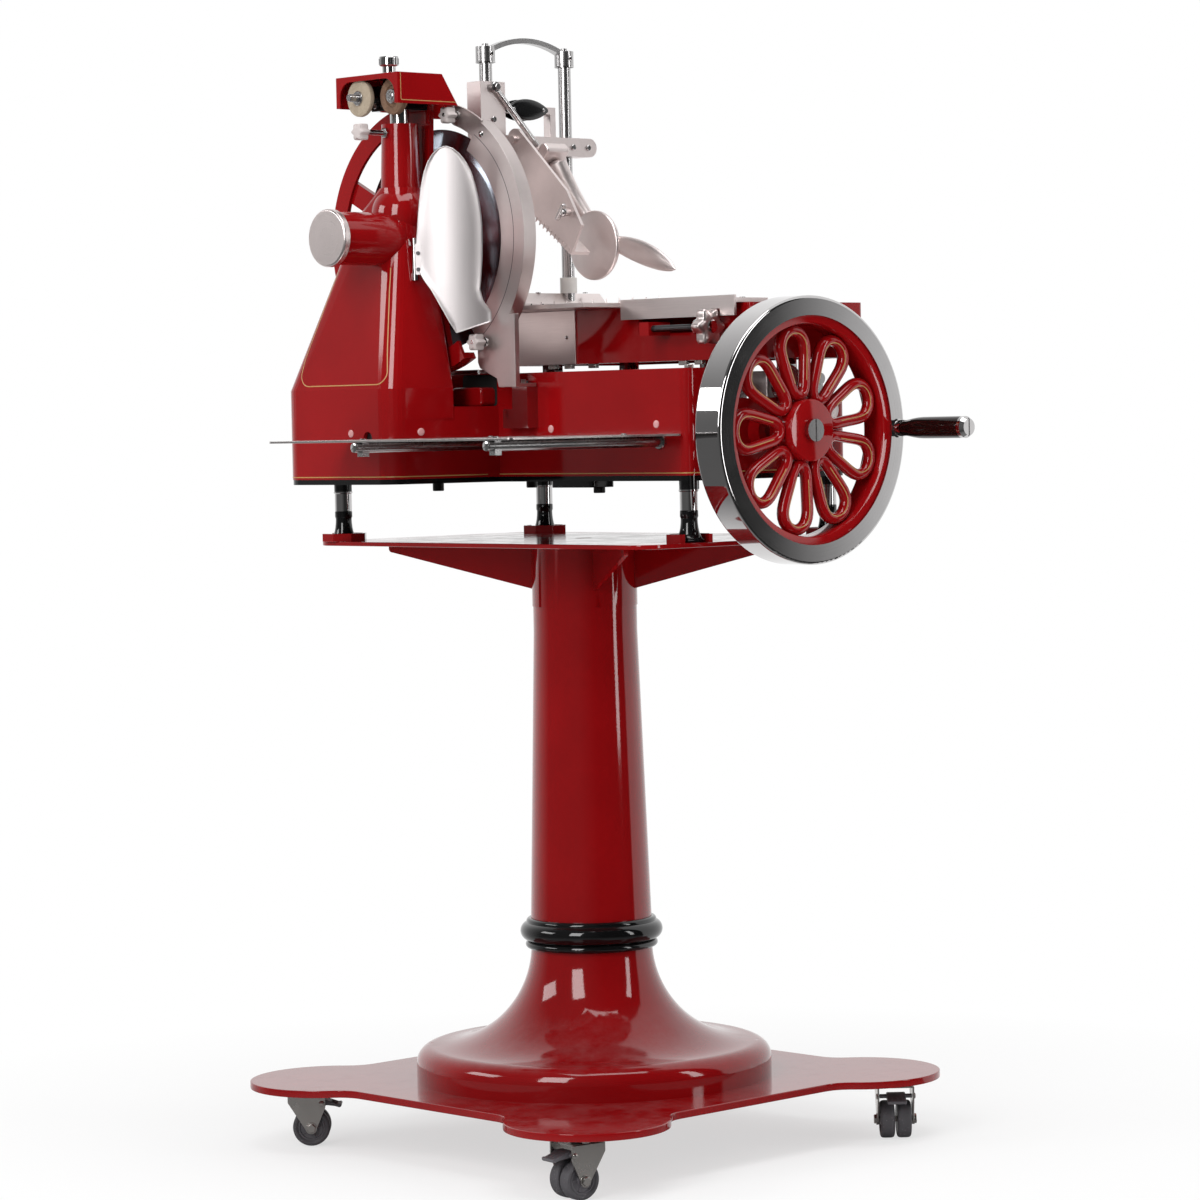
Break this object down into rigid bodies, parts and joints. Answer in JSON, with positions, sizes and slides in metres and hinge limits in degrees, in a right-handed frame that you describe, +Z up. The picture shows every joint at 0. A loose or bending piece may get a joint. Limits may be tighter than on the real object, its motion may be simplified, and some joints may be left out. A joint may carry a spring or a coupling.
{
  "type": "hand crank meat slicer",
  "caption": "Hand-cranked flywheel meat slicer in red enamel on a matching pedestal stand with casters, with blade guard, press, sharpener, sliding product table and receiving tray.",
  "frame": {"origin": "point on the floor under the axis of the pedestal column", "axes": "+Z up; the crank side faces -Y; the blade shaft runs along X and its end cap faces -X"},
  "size_m": [0.7939, 0.9179, 1.5355],
  "materials": {
    "red_enamel": "gloss",
    "black_enamel": "gloss",
    "chrome": "polished",
    "polished_steel": "satin",
    "zinc_steel": "zinc plated",
    "cast_aluminium": "satin",
    "tray_steel": "satin",
    "blade_steel": "polished",
    "chain_steel": "oiled",
    "grey_rubber": "matt",
    "black_plastic": "gloss",
    "grip_plastic": "gloss",
    "white_plastic": "gloss",
    "stone": "rough"
  },
  "bodies": {
    "frame": {"base_plate": "red_enamel", "pedestal_bell": "red_enamel", "moulding_ring": "black_enamel", "column": "red_enamel", "column_head": "red_enamel", "top_plate": "red_enamel", "foot_retainers": "red_enamel", "tie_rod": "zinc_steel", "caster_mounts": "zinc_steel", "base_casting": "red_enamel", "base_skirt": "black_enamel", "feet": "black_plastic", "sleeves": "chrome", "end_cap": "cast_aluminium", "back_wheel": "red_enamel", "rails": "polished_steel", "guard_ring": "cast_aluminium", "guard_block": "cast_aluminium", "star_knobs": "chrome", "tray": "tray_steel", "tray_arms": "chrome", "drive_chain": "chain_steel", "sharpener_post": "chrome", "dial_housing": "cast_aluminium"},
    "flywheel": {"flywheel": "red_enamel", "flywheel_rim": "chrome", "main_shaft": "polished_steel", "grip_cap": "chrome"},
    "grip": {"crank_grip": "grip_plastic"},
    "cross_shaft": {"cross_shaft": "polished_steel"},
    "blade": {"blade": "blade_steel", "blade_shaft": "polished_steel"},
    "deflector": {"slice_deflector": "chrome"},
    "carriage": {"carriage": "red_enamel", "end_plate": "cast_aluminium", "rollers": "polished_steel"},
    "table": {"product_table": "cast_aluminium", "guide_rods": "chrome", "bushings": "white_plastic"},
    "feed_knob": {"feed_knob": "cast_aluminium"},
    "press": {"press_slider": "cast_aluminium", "press_pads": "black_plastic"},
    "press_plate": {"press_plate": "cast_aluminium"},
    "pusher": {"pusher": "cast_aluminium"},
    "sharpener": {"sharpener": "cast_aluminium", "hood": "red_enamel", "stones": "stone"},
    "dial": {"thickness_dial": "chrome"},
    "caster_1": {"fork_1": "zinc_steel"},
    "caster_wheel_1": {"wheel_1": "grey_rubber"},
    "brake_1": {"pedal_1": "grey_rubber"},
    "caster_2": {"fork_2": "zinc_steel"},
    "caster_wheel_2": {"wheel_2": "grey_rubber"},
    "brake_2": {"pedal_2": "grey_rubber"},
    "caster_3": {"fork_3": "zinc_steel"},
    "caster_wheel_3": {"wheel_3": "grey_rubber"},
    "brake_3": {"pedal_3": "grey_rubber"},
    "caster_4": {"fork_4": "zinc_steel"},
    "caster_wheel_4": {"wheel_4": "grey_rubber"},
    "brake_4": {"pedal_4": "grey_rubber"}
  },
  "joints": [
    {"name": "swivel_1", "type": "hinge", "parent": "frame", "child": "caster_1", "pos_m": [-0.294, 0.294, 0.079], "axis": [0, 0, 1], "continuous": true},
    {"name": "roll_1", "type": "hinge", "parent": "caster_1", "child": "caster_wheel_1", "pos_m": [-0.27937, 0.28036, 0.026], "axis": [0.682, 0.7314, 0], "continuous": true},
    {"name": "brake_pivot_1", "type": "hinge", "parent": "caster_1", "child": "brake_1", "pos_m": [-0.26913, 0.27081, 0.06], "axis": [0.682, 0.7314, 0], "range_deg": [-18, 8]},
    {"name": "swivel_2", "type": "hinge", "parent": "frame", "child": "caster_2", "pos_m": [-0.294, -0.294, 0.079], "axis": [0, 0, 1], "continuous": true},
    {"name": "roll_2", "type": "hinge", "parent": "caster_2", "child": "caster_wheel_2", "pos_m": [-0.31381, -0.29122, 0.026], "axis": [-0.1392, -0.9903, 0], "continuous": true},
    {"name": "brake_pivot_2", "type": "hinge", "parent": "caster_2", "child": "brake_2", "pos_m": [-0.32767, -0.28927, 0.06], "axis": [-0.1392, -0.9903, 0], "range_deg": [-18, 8]},
    {"name": "swivel_3", "type": "hinge", "parent": "frame", "child": "caster_3", "pos_m": [0.294, -0.294, 0.079], "axis": [0, 0, 1], "continuous": true},
    {"name": "roll_3", "type": "hinge", "parent": "caster_3", "child": "caster_wheel_3", "pos_m": [0.28036, -0.30863, 0.026], "axis": [0.7314, -0.682, 0], "continuous": true},
    {"name": "brake_pivot_3", "type": "hinge", "parent": "caster_3", "child": "brake_3", "pos_m": [0.27081, -0.31887, 0.06], "axis": [0.7314, -0.682, 0], "range_deg": [-18, 8]},
    {"name": "swivel_4", "type": "hinge", "parent": "frame", "child": "caster_4", "pos_m": [0.294, 0.294, 0.079], "axis": [0, 0, 1], "continuous": true},
    {"name": "roll_4", "type": "hinge", "parent": "caster_4", "child": "caster_wheel_4", "pos_m": [0.304, 0.31132, 0.026], "axis": [-0.866, 0.5, 0], "continuous": true},
    {"name": "brake_pivot_4", "type": "hinge", "parent": "caster_4", "child": "brake_4", "pos_m": [0.311, 0.32344, 0.06], "axis": [-0.866, 0.5, 0], "range_deg": [-18, 8]},
    {"name": "flywheel_spin", "type": "hinge", "parent": "frame", "child": "flywheel", "pos_m": [0.024, -0.42, 0.983], "axis": [0, 1, 0], "continuous": true},
    {"name": "grip_spin", "type": "hinge", "parent": "flywheel", "child": "grip", "pos_m": [0.188, -0.431, 0.983], "axis": [0, 1, 0], "continuous": true},
    {"name": "cross_shaft_spin", "type": "hinge", "parent": "frame", "child": "cross_shaft", "pos_m": [0, 0.13, 0.983], "axis": [1, 0, 0], "continuous": true},
    {"name": "blade_spin", "type": "hinge", "parent": "frame", "child": "blade", "pos_m": [-0.141, 0.13, 1.254], "axis": [1, 0, 0], "continuous": true},
    {"name": "deflector_pivot", "type": "hinge", "parent": "frame", "child": "deflector", "pos_m": [-0.226, 0.083, 1.2248], "axis": [0, 0, 1], "range_deg": [-80, 0]},
    {"name": "carriage_slide", "type": "slide", "parent": "frame", "child": "carriage", "axis": [0, 1, 0], "range_m": [0, 0.2]},
    {"name": "feed_knob_turn", "type": "hinge", "parent": "carriage", "child": "feed_knob", "pos_m": [-0.061, -0.304, 1.122], "axis": [0, 1, 0], "range_deg": [0, 720]},
    {"name": "table_feed", "type": "slide", "parent": "carriage", "child": "table", "axis": [1, 0, 0], "range_m": [0, 0.0119]},
    {"name": "press_slide", "type": "slide", "parent": "table", "child": "press", "axis": [0, 0, 1], "range_m": [-0.025, 0.025]},
    {"name": "press_plate_pivot", "type": "hinge", "parent": "press", "child": "press_plate", "pos_m": [-0.0495, 0.07, 1.392], "axis": [1, 0, 0], "range_deg": [-60, 0]},
    {"name": "pusher_pivot", "type": "hinge", "parent": "press", "child": "pusher", "pos_m": [0.004, 0.061, 1.365], "axis": [1, 0, 0], "range_deg": [-50, 0]},
    {"name": "sharpener_lift", "type": "slide", "parent": "frame", "child": "sharpener", "axis": [0, 0, 1], "range_m": [0, 0.03]},
    {"name": "dial_turn", "type": "hinge", "parent": "frame", "child": "dial", "pos_m": [0.066, -0.337, 1.046], "axis": [0, 1, 0], "range_deg": [-150, 150]}
  ],
  "couplings": [
    {"joint": "cross_shaft_spin", "follows": "flywheel_spin", "ratio": -0.5},
    {"joint": "blade_spin", "follows": "flywheel_spin", "ratio": -0.85714},
    {"joint": "feed_knob_turn", "follows": "table_feed", "rad_per_m": 1050}
  ]
}
